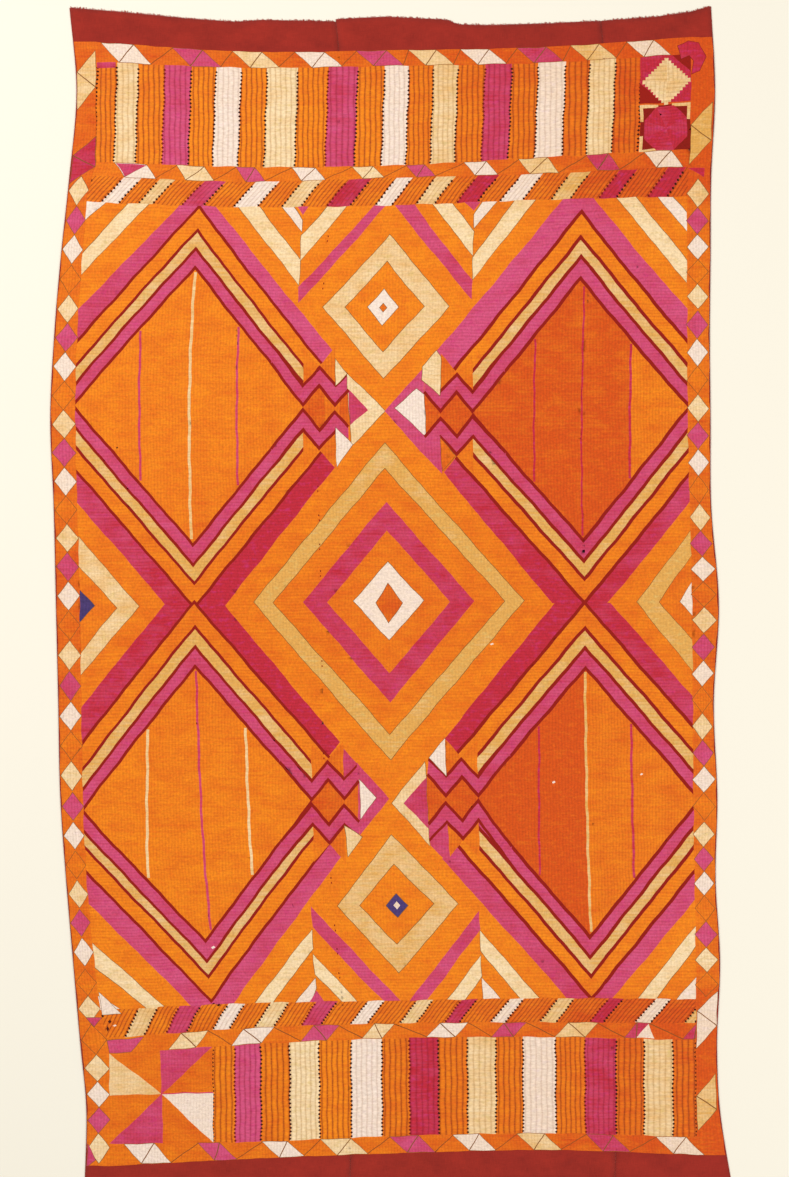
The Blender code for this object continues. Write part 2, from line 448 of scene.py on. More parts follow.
ARM_STEPS = 6  # patches in an arm, to let its tone change along it
for number, (great_c, great_s, arms) in enumerate(GREAT):
    left, top, right, foot = map(np.array, nested(number, 0, 0.0))
    for side, up, at_apex, at_side, tone, side_tone in arms:
        apex = top if up > 0 else foot
        tip = right if side > 0 else left
        outer_apex = apex + (0.0, up * at_apex)
        if up * great_s < 0:
            outer_apex = apex + (side * at_apex / RISE, 0.0)
        if (great_c < MIDDLE_AXIS) == (side > 0):
            tip = apex * 0.22 + tip * 0.78
            outer_tip = tip + (side * 0.5 * at_side / RISE, up * 0.5 * at_side)
        else:
            outer_tip = tip + (side * 0.01, up * at_side)
        inner, outer = tip - apex, outer_tip - outer_apex
        for step in range(ARM_STEPS):
            low, high = step / ARM_STEPS, (step + 1) / ARM_STEPS + 0.01
            corners = [apex + inner * low, apex + inner * high,
                       outer_apex + outer * high, outer_apex + outer * low]
            tone_here = tone + (side_tone - tone) * (step + 0.5) / ARM_STEPS
            paint(corners, MAGENTA, tone_here, 0.3, along=True)

for number, heights in enumerate(NESTED):
    for place, (floss, tone) in enumerate(INSIDE):
        paint(nested(number, place, heights[HALF_LINE]), BARE_GROUND_AND_SHADE, 0.1)
        paint(nested(number, place, -heights[HALF_LINE]), floss, tone, 0.25, along=place < INNERMOST)


def field_piece(number, left, right, tone):
    """The part of a field between two lines that run along the shawl."""
    grow = -NESTED[number][HALF_LINE]
    great_c = GREAT[number][0]
    half = (sum(NESTED[number][INNERMOST]) / 2 + grow) / RISE
    left, right = max(left, great_c - half), min(right, great_c + half)
    across = sorted({left, right} | ({great_c} if left < great_c < right else set()))
    shape = [(c, edge_of(number, INNERMOST, grow, c, 1)) for c in across]
    shape += [(c, edge_of(number, INNERMOST, grow, c, -1)) for c in reversed(across)]
    corners = [point for n, point in enumerate(shape) if math.dist(point, shape[n - 1]) > 1e-6]
    paint(corners, ORANGE, tone, 0.3)


field_piece(1, 0.777, 1.1015, 0.85)
field_piece(1, 1.1015, 1.228, 0.2)
field_piece(3, 0.777, 1.0035, 1.0)
field_piece(3, 1.0035, 1.228, 0.3)

# Single rows of another colour in the fields, from the upper edge to the lower one.
# number of the great lozenge; c at the top and at the foot; width; floss; tone
ROW_INSET = -0.008
ROWS = (
    (0, 0.1265, 0.1270, 0.0044, MAGENTA, 0.5),
    (0, 0.2285, 0.2240, 0.0056, CREAM, 0.4),
    (0, 0.3210, 0.3200, 0.0044, MAGENTA, 0.4),
    (1, 0.9130, 0.9090, 0.0040, MAGENTA, 1.0),
    (1, 1.0100, 1.0010, 0.0036, MAGENTA, 1.0),
    (1, 1.1040, 1.0990, 0.0048, MAGENTA, 0.9),
    (2, 0.1315, 0.1225, 0.0054, CREAM, 0.3),
    (2, 0.2285, 0.2405, 0.0046, MAGENTA, 0.4),
    (2, 0.3260, 0.3310, 0.0054, CREAM, 0.3),
    (3, 0.9100, 0.9060, 0.0040, MAGENTA, 0.9),
    (3, 1.0020, 1.0050, 0.0052, CREAM, 0.7),
    (3, 1.0930, 1.0950, 0.0046, MAGENTA, 0.7),
)
for great, at_top, at_foot, width, floss, tone in ROWS:
    top = edge_of(great, INNERMOST, ROW_INSET, at_top, 1)
    foot = edge_of(great, INNERMOST, ROW_INSET, at_foot, -1)
    paint(line([(at_top, top), (at_foot, foot)], width), floss, tone, 0.0)

# ---- the knots where a great lozenge meets the middle axis

UNIT, LIFT = 0.032, 0.040  # one step of a knot across the shawl and along it
ZIGZAG_LINE = 0.17  # width of the lines along the zigzags, in those steps


def knot(great, at_c, at_s, side, reach, dark, under, parts):
    """a runs from the great lozenge to the middle axis, b up.  Two zigzag bands cross the knot.
    reach: a where the bands end; dark: tone of the small lozenge; under: a shape that the bands
    lie over; parts: the shapes beyond them.  Each shape is its floss, tone and corners."""

    def on_chart(points):
        return [(at_c + side * a * UNIT, at_s + b * LIFT) for a, b in points]

    def joined(place, up):
        far = at_c - side * 3 * UNIT
        return (-3, (edge_of(great, place, 0.0, far, up) - at_s) / LIFT)

    upper = [(-1, 0.12), (0, 1.1), (1, 0.15), (2.1, 1.1)]
    paint(on_chart(upper + [(a, -b) for a, b in reversed(upper)]), ORANGE, dark, 0.3)
    paint(on_chart(under[2]), under[0], under[1], 0.3)
    for up in (1, -1):
        paint(on_chart([(-1, 1.1 * up), (-1, 2.95 * up), (0, 2.1 * up)]), ORANGE, 0.15 + dark / 4)
        paint(on_chart([(0, 2.1 * up), (0.98, 3.05 * up), (0.98, 1.2 * up)]), ORANGE, 0.2 + dark / 3, 0.3)
    inner_lines = []
    for up in (1, -1):
        inner_turns = ((-1, 0.12), (0, 1.12), (1, 0.18), (reach, 0.94 * reach - 0.76))
        outer_turns = ((-1, 1.1), (0, 2.02), (1, 1.15), (reach - 0.07, 0.83 * reach + 0.26))
        inner = [joined(3, up)] + [(a, b * up) for a, b in inner_turns]
        outer = [joined(2, up)] + [(a, b * up) for a, b in outer_turns]
        paint(on_chart(inner + outer[::-1]), MAGENTA, 0.3, 0.25, along=True)
        paint(on_chart(line(outer, ZIGZAG_LINE)), BARE_GROUND_AND_SHADE, 0.1)
        inner_lines.append(inner)
    for floss, tone, corners in parts:
        if floss == MAGENTA:
            paint(on_chart(corners), floss, tone, 0.25)
        else:
            outlined(on_chart(corners), floss, tone=tone, rib=0.25)
    for inner in inner_lines:
        paint(on_chart(line(inner, ZIGZAG_LINE)), BARE_GROUND_AND_SHADE, 0.1)


knot(0, 0.484, 0.396, 1, 1.82, 0.75, (
    ORANGE, 0.35, ((0.35, 0.8), (1, 0.15), (1.3, 0.4), (1.3, -0.4), (1, -0.15), (0.35, -0.8)),
), (
    (CREAM, 0.1, ((1.7, 1.75), (4.1, -0.1), (1.95, -1.95), (1.95, -0.8), (1.75, 1.0))),
    (MAGENTA, 0.5, ((1.78, 1.0), (3.05, -0.1), (1.95, -0.85))),
    (CREAM, 0.2, ((1.0, 2.45), (1.7, 1.75), (1.0, 1.15))),
    (WHITE, 0.1, ((1.0, -1.0), (2.05, -1.85), (1.07, -2.95))),
))
knot(1, 0.757, 0.3845, -1, 2.0, 0.85, (ORANGE, 0.8, ((2.02, 1.1), (1.0, 0.0), (1.91, -1.1))), (
    (MAGENTA, 0.2, (
        (2.1, 2.3), (4.46, 0.18), (1.0, -3.0), (1.0, -1.12), (1.91, -1.06), (2.02, 1.1), (1.95, 1.9),
    )),
    (CREAM, 0.2, ((1.25, 3.18), (1.0, 2.87), (1.0, 0.95), (2.14, 1.71), (2.14, 2.38))),
    (WHITE, 0.0, ((3.85, 0.31), (2.45, 1.28), (2.02, 0.98), (1.91, -1.1))),
    (ORANGE, 0.5, ((1.0, -1.2), (0.1, -2.1), (0.95, -2.85))),
))
knot(2, 0.488, -0.400, 1, 1.93, 0.8, (ORANGE, 0.6, ((1.0, 0.15), (2.0, 1.1), (2.0, -1.1), (1.0, -0.15))), (
    (MAGENTA, 0.3, ((1.82, 1.98), (3.79, 0.09), (1.92, -1.72), (1.86, -1.0), (1.86, 1.0))),
    (WHITE, 0.1, ((1.96, 1.12), (2.95, 0.15), (2.03, -0.9))),
    (MAGENTA, 0.4, ((1.0, 2.65), (1.85, 1.9), (1.0, 1.2))),
    (CREAM, 0.3, ((1.0, -1.2), (2.05, -1.8), (1.12, -2.75))),
))
knot(3, 0.755, -0.399, -1, 2.15, 0.85, (ORANGE, 0.8, ((2.2, 1.2), (1.0, 0.0), (2.1, -1.44))), (
    (CREAM, 0.3, ((2.32, 1.9), (4.4, -0.16), (2.06, -2.3), (2.16, -1.5), (2.21, 1.06))),
    (MAGENTA, 0.5, ((2.2, 1.1), (3.67, -0.16), (2.15, -1.48))),
    (WHITE, 0.1, ((1.0, 3.08), (1.0, 1.15), (2.02, 2.1))),
    (MAGENTA, 0.4, ((0.97, -1.22), (2.05, -2.1), (2.0, -2.3), (0.8, -3.34))),
))

# ---- half lozenges on the two border lines

outlined([(0, 0.137), (0.117, -0.002), (0, -0.133)], CREAM, tone=0.2)
outlined([(0, 0.078), (0.072, -0.004), (0, -0.090)], ORANGE, tone=0.1)
outlined([(0, 0.031), (0.029, 0.000), (0, -0.032)], INDIGO)
outlined([(FIELD, 0.142), (1.107, 0.001), (FIELD, -0.141)], CREAM, tone=0.8)
outlined([(FIELD, 0.094), (1.150, 0.001), (FIELD, -0.075)], ORANGE, tone=0.2)
outlined([(FIELD, 0.040), (1.192, 0.001), (FIELD, -0.028)], WHITE)

# ---- bars across the ends

BAR_WIDTH = 0.011
TOP_BARS = (
    (0.000, ORANGE, 0.2), (0.040, CREAM, 0.2), (0.084, ORANGE, 0.1), (0.138, MAGENTA, 0.1),
    (0.192, ORANGE, 0.0), (0.242, WHITE, 0.1), (0.294, ORANGE, 0.0), (0.347, CREAM, 0.0),
    (0.410, ORANGE, 0.0), (0.472, MAGENTA, 0.25), (0.532, ORANGE, 0.0), (0.587, WHITE, 0.1),
    (0.637, ORANGE, 0.15), (0.687, CREAM, 0.15), (0.737, ORANGE, 0.15), (0.792, MAGENTA, 0.25),
    (0.847, ORANGE, 0.15), (0.901, WHITE, 0.1), (0.957, ORANGE, 0.15), (1.006, CREAM, -0.15),
    (1.059, ORANGE, 0.25), (1.112, None, 0),
)
LOW_BARS = (
    (0.214, ORANGE, 0.15), (0.260, MAGENTA, 0.0), (0.314, ORANGE, 0.2), (0.374, CREAM, 0.0),
    (0.435, ORANGE, 0.0), (0.501, WHITE, 0.1), (0.565, ORANGE, 0.3), (0.622, MAGENTA, 0.75),
    (0.682, ORANGE, 0.25), (0.742, CREAM, 0.1), (0.801, ORANGE, 0.1), (0.857, WHITE, 0.1),
    (0.925, ORANGE, 0.05), (0.986, MAGENTA, 0.3), (1.050, ORANGE, 0.15), (1.108, CREAM, -0.1),
    (1.168, ORANGE, 0.1), (1.216, None, 0),
)
LEAN = 0.0035
RIB_OF = {ORANGE: 0.95, MAGENTA: 0.65, CREAM: 0.6, WHITE: 0.5}


def bars(table, top, foot, lean):
    for (left, floss, tone), (right, _, _) in zip(table, table[1:]):
        rows = max(2, round((right - left) / BAR_WIDTH))
        barred((left - lean, foot), (right - lean, foot), (right + lean, top), (left + lean, top),
               floss, tone=tone, rib=RIB_OF[floss], width=(right - left) / rows)


paint(block(0, FIELD, BARS_TOP, BARS_FOOT), ORANGE, 0.4)
bars(TOP_BARS, BARS_TOP, BARS_FOOT, LEAN)
paint(block(0.002, 0.040, BARS_TOP, 1.066), MAGENTA, 0.5)
paint(block(0, FIELD, LOW_BARS_TOP, LOW_BARS_FOOT), ORANGE, 0.4)
bars(LOW_BARS, LOW_BARS_TOP, LOW_BARS_FOOT, 0.0)

# Squares in the far right corner: a toothed lozenge over a rounded one
SQUARE = 1.112  # c of their left side
paint(block(SQUARE, FIELD, BARS_TOP, 0.978), MAGENTA, 0.9, 0.3)
paint([(1.116, BARS_TOP), (1.16, BARS_TOP), (1.116, 1.035)], MAGENTA, 0.3, 0.3)
paint([(1.178, BARS_TOP), (FIELD, BARS_TOP), (FIELD, 1.04)], BARE_GROUND_AND_SHADE, 0.1)
paint([(SQUARE, 1.02), (1.16, 0.978), (SQUARE, 0.978)], BARE_GROUND_AND_SHADE, 0.0)
middle = np.array([1.166, 1.022])
tips = [middle + step for step in ((0.050, 0), (0, 0.050), (-0.050, 0), (0, -0.050))]
# The four quarters differ in tone as painted sheen of their different stitch directions.
for n, tone in enumerate((-0.35, -0.1, -0.25, -0.15)):
    side = toothed(tips[(n + 1) % 4], tips[n], 0.0022)
    paint(side + [middle], CREAM, tone, 0.5, 0.009, along=bool(n % 2))
paint(block(1.113, FIELD, 0.974, BARS_FOOT), BARE_GROUND_AND_SHADE, 0.25)
for across, up in ((-1, 1), (1, 1), (-1, -1)):
    end_c, end_s = 1.164 + across * 0.0485, 0.928 + up * 0.044
    bracket = [(end_c - across * 0.034, end_s), (end_c, end_s), (end_c, end_s - up * 0.030)]
    paint(line(bracket, 0.0065), CREAM, 0.1)
turns = np.arange(8) * math.pi / 4 + math.pi / 8
middle = (1.165, 0.927)
wheel = np.stack([middle[0] + 0.0475 * np.cos(turns), middle[1] + 0.0475 * np.sin(turns)], 1)
for n in range(8):
    paint([middle, wheel[n], wheel[(n + 1) % 8]], MAGENTA, (0.65, 0.3)[n % 2], 0.4, along=n % 4 < 2)

# The pinwheel in the near left corner: the column and row of each triangle's corners, floss, tone
PIN_C = (0.000, 0.108, 0.214)
PIN_S = (-0.879, -0.968, LOW_BARS_FOOT)
PINWHEEL = (
    ((0, 1), (1, 1), (0, 0), CREAM, 0.4),
    ((1, 1), (1, 0), (0, 0), ORANGE, 0.4),
    ((1, 1), (2, 0), (1, 0), MAGENTA, 0.4),
    ((1, 1), (2, 1), (2, 0), ORANGE, 0.5),
    ((0, 1), (1, 1), (0, 2), ORANGE, 0.4),
    ((1, 1), (1, 2), (0, 2), MAGENTA, 0.4),
    ((1, 1), (2, 1), (2, 2), WHITE, 0.2),
    ((1, 1), (2, 2), (1, 2), ORANGE, 0.5),
)
for *corners, floss, tone in PINWHEEL:
    paint([(PIN_C[n], PIN_S[m]) for n, m in corners], floss, tone)
paint(block(PIN_C[1] - 0.0012, PIN_C[1] + 0.0012, PIN_S[0], PIN_S[2]), MAGENTA, 0.4)
paint(block(PIN_C[1], PIN_C[2], PIN_S[1] + 0.001, PIN_S[1] - 0.001), MAGENTA, 0.4)

# ---- slanted bars at both ends of the field

TOP_SLANTS = (
    (0.029, 0.101, WHITE, 0.1), (0.103, 0.170, CREAM, 0.5), (0.192, 0.273, MAGENTA, 0.4),
    (0.297, 0.382, WHITE, 0.1), (0.393, 0.470, CREAM, 0.3), (0.486, 0.570, MAGENTA, 0.8),
    (0.584, 0.654, WHITE, 0.1), (0.666, 0.741, CREAM, 0.3), (0.749, 0.829, MAGENTA, 1.0),
    (0.837, 0.919, WHITE, 0.1), (0.939, 1.016, CREAM, 0.5), (1.037, 1.110, MAGENTA, 0.9),
    (1.136, 1.211, MAGENTA, 0.9),
)
FOOT_SLANTS = (
    (0.037, 0.119, CREAM, 0.5), (0.121, 0.207, MAGENTA, 0.5), (0.219, 0.296, WHITE, 0.1),
    (0.306, 0.387, CREAM, 0.2), (0.400, 0.485, MAGENTA, 0.4), (0.503, 0.581, WHITE, 0.1),
    (0.604, 0.681, CREAM, 0.3), (0.696, 0.770, MAGENTA, 0.6), (0.793, 0.865, WHITE, 0.2),
    (0.893, 0.969, CREAM, 0.3), (0.996, 1.068, MAGENTA, 0.6), (1.091, 1.165, WHITE, 0.2),
    (1.191, 1.255, CREAM, 0.3),
)
SLANT_BANDS = (
    (TOP_SLANTS, TEETH_FOOT, FIELD_TOP, 0.037),
    (FOOT_SLANTS, FIELD_FOOT, SLANT_FOOT, 0.043),
)
for table, top, foot, lean in SLANT_BANDS:
    paint(block(0, FIELD, top, foot), ORANGE, 0.5)
    slant = lean / (top - foot)
    last = -0.03
    for start, stop, floss, tone in table + ((FIELD + 0.02, FIELD + 0.06, None, 0),):
        if start - last > 0.004:
            barred((last, foot), (start, foot), (start + lean, top), (last + lean, top), ORANGE,
                   tone=0.3 + 0.2 * (start > 0.95), rib=0.95, width=0.009, slant=slant)
        if floss is not None:
            barred((start, foot), (stop - lean, foot), (stop, top), (start + lean, top), floss,
                   tone=tone, rib=0.5, width=0.009, slant=slant)
        last = stop - lean

# ---- borders of paired triangles

BORDER_TONE = 0.4
TOP_OUTER = (
    (0.014, 0.112, WHITE), (0.158, 0.254, MAGENTA), (0.282, 0.374, CREAM), (0.408, 0.502, WHITE),
    (0.534, 0.628, MAGENTA), (0.640, 0.730, CREAM), (0.746, 0.838, WHITE), (0.862, 0.954, MAGENTA),
    (0.970, 1.062, CREAM), (1.086, 1.174, WHITE),
)
TOP_INNER = (
    (0.040, 0.130, WHITE), (0.165, 0.246, CREAM), (0.287, 0.352, MAGENTA), (0.402, 0.474, WHITE),
    (0.525, 0.593, CREAM), (0.636, 0.699, MAGENTA), (0.754, 0.824, WHITE), (0.866, 0.950, CREAM),
    (1.003, 1.074, MAGENTA), (1.124, 1.204, WHITE),
)
FOOT_INNER = (
    (0.125, 0.208, CREAM), (0.255, 0.344, WHITE), (0.399, 0.478, MAGENTA),
    (0.525, 0.593, CREAM), (0.659, 0.744, WHITE), (0.792, 0.866, MAGENTA), (0.924, 1.013, CREAM),
    (1.067, 1.120, MAGENTA), (1.190, 1.240, MAGENTA),
)
FOOT_OUTER = (
    (0.031, 0.126, WHITE), (0.182, 0.261, MAGENTA), (0.317, 0.402, WHITE), (0.437, 0.533, CREAM),
    (0.582, 0.674, MAGENTA), (0.711, 0.798, WHITE), (0.845, 0.935, CREAM), (0.988, 1.076, MAGENTA),
    (1.134, 1.228, WHITE),
)


def triangles(table, top, foot, left, right, lean):
    """Leaning pairs of triangles. lean: how far the top of a pair lies to the left of its foot."""
    paint(block(left, right, top, foot), ORANGE, BORDER_TONE + 0.15 * (top > 1), 0.2)
    rim = 0.0012
    top, foot = top - rim, foot + rim
    last = None
    for start, stop, floss in table:
        size = stop - start - abs(lean)
        at_foot, at_top = (start + lean, start) if lean > 0 else (start, start - lean)
        shape = [(at_foot, foot), (at_foot + size, foot), (at_top + size, top), (at_top, top)]
        outlined(shape, floss, 0.0009, tone=0.15)
        paint(line([shape[0], shape[2]] if lean > 0 else [shape[1], shape[3]], 0.0020), THREAD, 0.2, 0.0)
        if last is not None:
            ends = [last[0], shape[3]] if lean > 0 else [shape[0], last[1]]
            paint(line(ends, 0.0018), THREAD, 0.5, 0.0)
        last = [shape[1], shape[2]]


triangles(TOP_OUTER, OUTER_TOP, BARS_TOP, -CHAIN, FIELD + CHAIN, 0.034)
triangles(TOP_INNER, BARS_FOOT, TEETH_FOOT, 0.0, FIELD, 0.026)
triangles(FOOT_INNER, SLANT_FOOT, LOW_BARS_TOP, 0.0, FIELD, -0.028)
paint([(0.067, TEETH_FOOT + 0.002), (0.104, BARS_FOOT - 0.002), (0.042, BARS_FOOT - 0.002)], MAGENTA, 0.4)
paint([(1.093, LOW_BARS_TOP + 0.002), (1.130, LOW_BARS_TOP + 0.002), (1.118, SLANT_FOOT - 0.002)], WHITE, 0.1)
outlined([(0.001, -0.855), (0.075, -0.853), (0.046, -0.878), (0.001, -0.878)], MAGENTA, 0.0010, tone=0.2)
outlined([(0.003, -0.766), (0.040, -0.809), (0.003, -0.809)], WHITE, 0.0010, tone=0.2)
triangles(FOOT_OUTER, LOW_BARS_FOOT, OUTER_FOOT, -CHAIN, FIELD + CHAIN, 0.034)

# ---- the chains of small lozenges along both sides

CHAIN_TURN = (CREAM, MAGENTA, WHITE, ORANGE)
# number of a lozenge, counted from the far end, and its place
LEFT_PLACES = ((0, 0.822), (2, 0.707), (4, 0.590), (8, 0.362), (14, 0.020), (20, -0.329), (24, -0.567),
               (27, -0.746), (28, -0.797), (33, -1.078))
RIGHT_PLACES = ((0, 0.804), (4, 0.608), (8, 0.386), (12, 0.170), (16, -0.037), (24, -0.474), (27, -0.620),
                (30, -0.771))
SELVEDGE = 0.0022  # left bare outside the silk


def chain(middle, places, count, odd):
    numbers, at = np.array(places).T
    where = np.interp(np.arange(count), numbers, at)
    for n in range(count):
        floss = odd.get(n, CHAIN_TURN[n % 4])
        above = where[max(n - 1, 0)] - where[n] or 1
        below = where[n] - where[min(n + 1, count - 1)] or 1
        tall = min(min(above, below) / 2 - 0.0008, 0.0275)
        outlined(lozenge(middle, where[n], 0.0220, tall), floss, 0.0010,
                 tone=0.35 if floss == ORANGE else 0.15, rib=0.25)


for left, right in ((-CHAIN, 0), (FIELD, FIELD + CHAIN)):
    paint(block(left, right, BARS_TOP, LOW_BARS_FOOT), ORANGE, 0.45, 0.2)
    paint(block(left, right, BARS_TOP, FIELD_TOP), ORANGE, 0.65, 0.2)
chain(-0.0225, LEFT_PLACES, 34, {29: ORANGE, 30: CREAM, 31: WHITE, 32: MAGENTA, 33: CREAM})
chain(FIELD + 0.0215, RIGHT_PLACES, 31, {28: MAGENTA, 29: CREAM, 30: ORANGE})


def long_pair(outer, inner, top, foot, floss, tone):
    """A tall pair of triangles at the end of a chain. outer, inner: c of its two upright sides."""
    drop = (top - foot) * 0.38
    high, low = (inner, outer) if outer < 0 else (outer, inner)
    shape = [(high, top), (high, foot + drop), (low, foot), (low, top - drop)]
    outlined(shape, floss, 0.0010, tone=tone)
    paint(line([shape[3], shape[1]], 0.002), THREAD, 0.2, 0.0)


long_pair(-0.045, -0.001, 1.099, 0.987, CREAM, 0.35)
long_pair(-0.045, -0.001, 0.933, 0.835, MAGENTA, 0.9)
long_pair(FIELD + 0.043, FIELD + 0.001, 0.976, 0.854, CREAM, 0.45)
long_pair(FIELD + 0.045, FIELD + 0.002, -0.785, -0.895, WHITE, 0.1)
long_pair(FIELD + 0.042, FIELD + 0.002, -0.945, -1.055, CREAM, 0.2)
paint([(1.214, 0.847), (1.250, 0.847), (1.250, 0.831)], MAGENTA, 0.4)
outlined([(-0.045, -1.070), (-0.029, -1.100), (-0.045, -1.112)], MAGENTA, 0.0010, tone=0.3)
outlined([(-0.031, -0.813), (0.000, -0.815), (-0.018, -0.829)], MAGENTA, 0.0010, tone=0.3)

outlined([(1.189, 1.097), (1.210, 1.108), (1.231, 1.103), (1.247, 1.070), (1.234, 1.040), (1.218, 1.034),
           (1.222, 1.062), (1.213, 1.075), (1.197, 1.068)], MAGENTA, 0.001, BARE_GROUND_AND_SHADE, 0.5, tone=0.3)

# ---- small marks of wear.  half: across; tall: along the shawl
SPECKS = (
    (0.241, -0.685, 0.0042, 0.0034, WHITE, -0.2), (0.817, -0.083, 0.0040, 0.0025, WHITE, 0.0),
    (0.939, -0.368, 0.0035, 0.0030, WHITE, 0.0), (1.114, -0.353, 0.0030, 0.0025, WHITE, 0.0),
    (0.242, -0.802, 0.0040, 0.0030, BARE_GROUND_AND_SHADE, 1.2), (0.232, -0.799, 0.0030, 0.0020, BARE_GROUND_AND_SHADE, 1.2),
    (0.014, -0.822, 0.0035, 0.0040, BARE_GROUND_AND_SHADE, 0.9), (0.006, -0.835, 0.0030, 0.0050, BARE_GROUND_AND_SHADE, 0.9),
    (0.022, -0.829, 0.0040, 0.0020, WHITE, 0.3), (0.081, 0.314, 0.0025, 0.0020, BARE_GROUND_AND_SHADE, 1.0),
)
for speck_c, speck_s, half, tall, floss, tone in SPECKS:
    paint(lozenge(speck_c, speck_s, half, tall, half * 0.4), floss, tone, 0.0)

# Stitches that show along the left-hand seam
BITES = (0.744, 0.649, 0.239, 0.182, 0.124, 0.069, -0.113, -0.300, -0.550, -0.643, -0.691, -0.740)
for bite in BITES:
    for step in range(2):
        at = bite - 0.010 * step
        middle = float(seam_on_chart(1, np.array([at]))[0])
        paint(block(middle - 0.0011, middle + 0.0011, at, at - 0.0035), BARE_GROUND_AND_SHADE, 0.2 + 0.3 * (step == 0))

# Small creases pressed into the cloth: where each starts, bends and ends on the chart
CREASES = (
    ((0.563, 0.347), (0.590, 0.340), (0.612, 0.344)),
    ((0.560, 0.329), (0.575, 0.323), (0.594, 0.326)),
    ((0.574, 0.423), (0.590, 0.428), (0.606, 0.427)),
    ((0.575, 0.420), (0.586, 0.413), (0.600, 0.414)),
    ((0.640, 0.352), (0.662, 0.346), (0.680, 0.350)),
    ((0.560, 0.612), (0.600, 0.622), (0.650, 0.616)),
    ((0.350, 0.372), (0.400, 0.366), (0.452, 0.371)),
    ((0.800, 0.352), (0.860, 0.360), (0.930, 0.354)),
    ((0.540, -0.629), (0.590, -0.622), (0.660, -0.631)),
    ((0.100, 0.020), (0.150, 0.014), (0.196, 0.018)),
    ((0.900, -0.214), (0.960, -0.206), (1.030, -0.213)),
    ((0.250, -0.540), (0.300, -0.548), (0.345, -0.543)),
)
CREASE_WIDTH, CREASE_HEIGHT, CREASE_STEPS = 0.0055, 0.0006, 12

# ======== Materials


def feed(tree, socket, value):
    """Link a socket to another one, or set its own value."""
    if isinstance(value, bpy.types.NodeSocket):
        tree.links.new(value, socket)
    else:
        socket.default_value = value


def node(tree, kind, **inputs):
    made = tree.nodes.new(kind)
    for name, value in inputs.items():
        feed(tree, made.inputs[name.replace("_", " ")], value)
    return made


def maths(tree, operation, a, b=0.0, clamp=False):
    made = tree.nodes.new("ShaderNodeMath")
    made.operation = operation
    made.use_clamp = clamp
    feed(tree, made.inputs[0], a)
    feed(tree, made.inputs[1], b)
    return made.outputs[0]


def off_middle(tree, noise, middle, gain, clamp=False):
    """How far a noise is above its middle, times a gain."""
    return maths(tree, "MULTIPLY", maths(tree, "SUBTRACT", noise, middle), gain, clamp)


def mixed(tree, share, a, b, blend="MIX"):
    made = tree.nodes.new("ShaderNodeMix")
    made.data_type = "RGBA"
    made.blend_type = blend
    for place, value in ((0, share), (6, a), (7, b)):
        feed(tree, made.inputs[place], value)
    return made.outputs[2]


def rgb(colour):
    """A colour as seen, 0 to 255, made linear."""
    seen = [value / 255 for value in colour]
    return (*(v / 12.92 if v < 0.04 else ((v + 0.055) / 1.055) ** 2.4 for v in seen), 1.0)


def attribute(tree, name):
    made = tree.nodes.new("ShaderNodeAttribute")
    made.attribute_name = name
    return made.outputs["Fac"]


def stretched_noise(tree, vector, across, along, detail=2.0, roughness=0.5):
    scale = node(tree, "ShaderNodeMapping", Vector=vector, Scale=(across, along, 1.0))
    noise = node(tree, "ShaderNodeTexNoise", Vector=scale.outputs[0], Scale=1.0, Detail=detail,
                 Roughness=roughness)
    return noise.outputs["Fac"]


def bump(tree, shader, height, strength, distance):
    made = node(tree, "ShaderNodeBump", Height=height, Strength=strength, Distance=distance)
    tree.links.new(made.outputs[0], shader.inputs["Normal"])


def started(name):
    """A new material, its tree, its shader and the place of a point on the cloth."""
    material = bpy.data.materials.new(name)
    material.use_nodes = True
    tree = material.node_tree
    shader = tree.nodes["Principled BSDF"]
    shader.inputs["Specular IOR Level"].default_value = 0.2
    return material, tree, shader, tree.nodes.new("ShaderNodeTexCoord").outputs["Object"]


